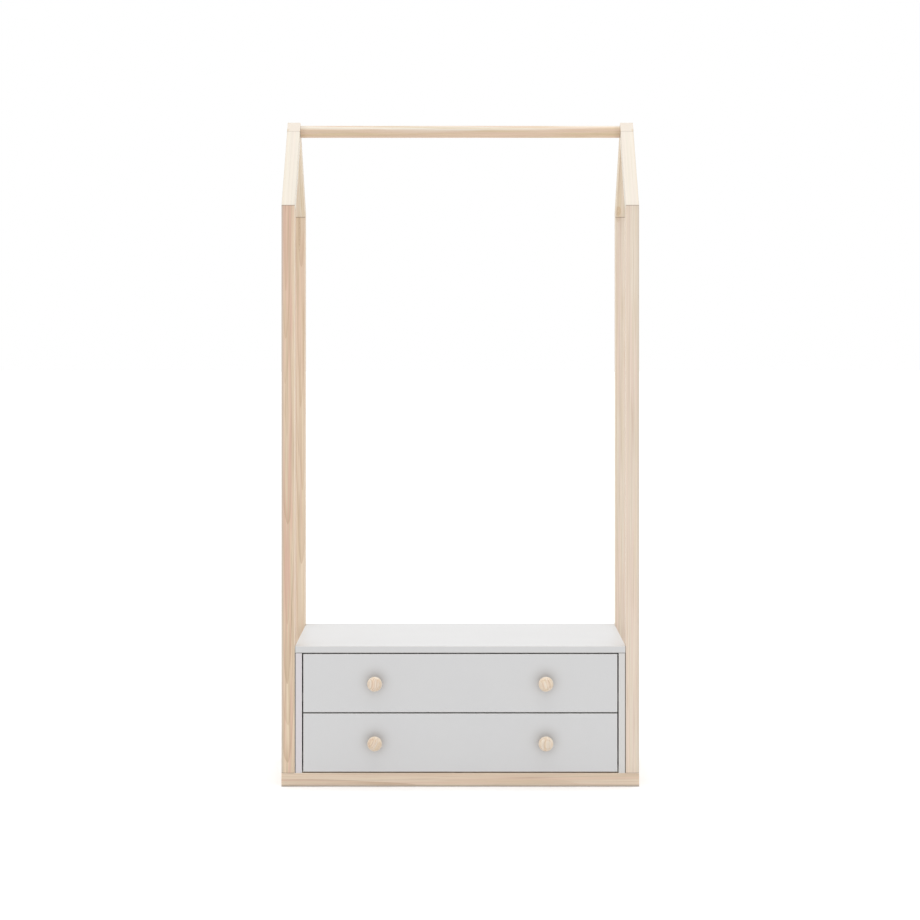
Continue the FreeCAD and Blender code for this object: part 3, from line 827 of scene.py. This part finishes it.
pan_head = screw_head("pan_head", radius=4.2 * mm, height=2.4 * mm, recess_depth=1.5 * mm)
low_head = screw_head("low_head", radius=3.0 * mm, height=1.2 * mm, recess_depth=0.9 * mm)
flush_head = screw_head("flush_head", radius=3.4 * mm, height=0.4 * mm, recess_depth=0.35 * mm)
print("a pan head has", len(pan_head.polygons), "faces")


# %% Screws of the knobs and runners
screws = []
# The thickness of the runners' sheet steel
runner_sheet = 1.2 * mm


def drive(name, mesh, place, direction, body):
    """Seats a head at a place, with its crown facing a direction, and counts it."""
    turn = direction.to_track_quat("Z", "Y").to_matrix().to_4x4()
    screws.append(place_piece(name, mesh, screw_zinc, body, Matrix.Translation(place) @ turn))


for level in levels:
    front_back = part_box(f"{level}_drawer_front")[1].y
    for side, outward in sideways.items():
        seat = knob_place(level, side, front_back)
        drive(f"{level}_{side}_knob_screw", pan_head, seat, back, f"{level}_drawer")

        # The channel is screwed to the cabinet through its web, the angle to the drawer's side through its own
        channel_low, channel_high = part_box(f"{level}_{side}_cabinet_runner")
        angle_low, angle_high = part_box(f"{level}_{side}_drawer_runner")
        box_side_low, box_side_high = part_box(f"{level}_drawer_{side}_side")
        channel_x = max(abs(channel_low.x), abs(channel_high.x)) - runner_sheet
        angle_x = max(abs(box_side_low.x), abs(box_side_high.x)) + runner_sheet
        z = middle(f"{level}_{side}_drawer_roller").z + 2 * mm
        # The angle's holes lie a little further forward and a little higher
        for number, share in enumerate((0.2, 0.52, 0.84)):
            name = f"{level}_{side}_channel_screw_{number}"
            seat = (outward * channel_x, between(channel_low.y, channel_high.y, share), z)
            drive(name, flush_head, seat, -outward * right, "frame")
            name = f"{level}_{side}_angle_screw_{number}"
            seat = (outward * angle_x, between(angle_low.y, angle_high.y, share - 0.04), z + 1 * mm)
            drive(name, low_head, seat, outward * right, f"{level}_drawer")
print(len(screws), "screws in the knobs and runners")

# %% Screws from the cabinet into the posts
for side, outward in sideways.items():
    panel_low, panel_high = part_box(f"cabinet_{side}_side")
    inner_face = min(abs(panel_low.x), abs(panel_high.x))
    for row in ("front", "rear"):
        y = middle(f"{row}_{side}_post").y
        for number, share in enumerate((0.32, 0.78)):
            name = f"{row}_{side}_post_screw_{number}"
            seat = (outward * inner_face, y, between(panel_low.z, panel_high.z, share))
            drive(name, flush_head, seat, -outward * right, "frame")
print(len(screws), "screws with those into the posts")

# %% Screws round the thin back
back_low, back_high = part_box("cabinet_back")
edge_inset = (panel_high.x - panel_low.x) / 2
seats = []
for share in (0.08, 0.36, 0.64, 0.92):
    z = between(back_low.z, back_high.z, share)
    seats += [(back_low.x + edge_inset, back_high.y, z), (back_high.x - edge_inset, back_high.y, z)]
for share in (0.2, 0.4, 0.6, 0.8):
    seats.append((between(back_low.x, back_high.x, share), back_high.y, back_low.z + edge_inset))
for number, seat in enumerate(seats):
    drive(f"back_screw_{number}", low_head, seat, back, "frame")
print(len(screws), "screws with those round the back")

# %% [markdown]
# ## Studio
# The product is shown on white, under soft light from all around and a little more from above. A photographer would
# use big soft boxes and a paper sweep. Here an even sky and a wide sun do the same, because they light an endless
# floor evenly. The floor and the sky look white to the camera and in reflections, while what they send to the
# object stays at a plain level, so that its colours come out as written. The floor keeps the soft shadow under the
# base.


# %% Floor
def seen_directly(tree):
    """1 where the camera sees a point, straight or in a reflection, and 0 where it only sends out light."""
    rays = add(tree, "LightPath").node.outputs
    seen = add(tree, "Math", {0: rays["Is Camera Ray"], 1: rays["Is Glossy Ray"]}, operation="MAXIMUM")
    return add(tree, "Math", {0: seen, 1: rays["Is Transmission Ray"]}, operation="MAXIMUM")


def floor_paper(name):
    """White paper, a little whiter for the camera and for reflections than for the light that it throws back."""
    material, tree, surface = new_material(name, Roughness=0.9)
    seen = seen_directly(tree)
    grain = add(tree, "TexNoise", {"Vector": add(tree, "TexCoord", out="Object"), "Scale": 1 / (4 * mm)})
    paper = add(tree, "MixRGB", {"Fac": grain, "Color1": srgb("#E4E4E4"), "Color2": srgb("#E8E8E8")})
    paper = add(tree, "MixRGB", {"Fac": seen, "Color1": paper, "Color2": srgb("#FFFFFF")})
    glow = add(tree, "Math", {0: seen, 1: 0.1}, operation="MULTIPLY")
    surface.inputs["Emission Color"].default_value = srgb("#FFFFFF")
    connect(tree, surface, Base_Color=paper, Emission_Strength=glow)
    return material


floor_reach = 40.0
corners = [(x * floor_reach, y * floor_reach, 0) for x, y in ((-1, -1), (1, -1), (1, 1), (-1, 1))]
floor_mesh = new_mesh("floor", corners, [(0, 1, 2, 3)])
floor_mesh.materials.append(floor_paper("white_paper"))
floor = new_object("floor", floor_mesh)
# A hair below the base, so that two faces never lie in one plane
floor.location.z = -0.2 * mm
print(f"floor of {2 * floor_reach:.0f} m laid")

# %% Sky and lamps
sky_level, sun_level = 0.83, 0.27
world = bpy.data.worlds.new("studio")
scene.world = world
world.use_nodes = True
sky = world.node_tree
strength = add(sky, "MapRange", {"Value": seen_directly(sky), "To Min": sky_level, "To Max": 1.0})
sky.links.new(strength, sky.nodes["Background"].inputs["Strength"])
sky.nodes["Background"].inputs["Color"].default_value = srgb("#FFFFFF")


def sun(name, direction, level, softness):
    """A lamp as wide as a soft box. level is how bright it makes a white surface that faces it."""
    lamp = bpy.data.lights.new(name, "SUN")
    lamp.energy = math.pi * level
    lamp.angle = softness
    new_object(name, lamp).rotation_euler = direction.to_track_quat("-Z", "Y").to_euler()


sun("top_soft_box", -up, sun_level, math.radians(55))
print("sky at", sky_level, "and sun at", sun_level)

# %% [markdown]
# ## Camera
# The photograph has no converging uprights, so its camera was level, at about chest height, with a long lens, and
# the frame was shifted down to the object. The place was worked out from the front plane of the object: how many
# pixels a metre takes there and how much smaller the rear posts look give the distance, and the horizon gives the
# height.

# %% Camera
# In pixels: the photograph's side, the column and the row that the level lens points at, a metre in the front plane
# of the object, and the focal length
image_side = 920
middle_column, horizon_row = 460.3, 314.87
pixels_per_metre, focal_pixels = 447.2, 2460
camera_height = 1.0547
lens_data = bpy.data.cameras.new("camera")
lens_data.sensor_width = 36.0
lens_data.lens = focal_pixels / image_side * lens_data.sensor_width
lens_data.shift_x = (image_side / 2 - middle_column) / image_side
lens_data.shift_y = (horizon_row - image_side / 2) / image_side
camera = new_object("camera", lens_data)
camera.location = (0, front_y - focal_pixels / pixels_per_metre, camera_height)
camera.rotation_euler = (math.pi / 2, 0, 0)
scene.camera = camera
scene.view_settings.view_transform = "Standard"
print(f"camera {-camera.location.y:.2f} m in front, lens {lens_data.lens:.1f} mm")
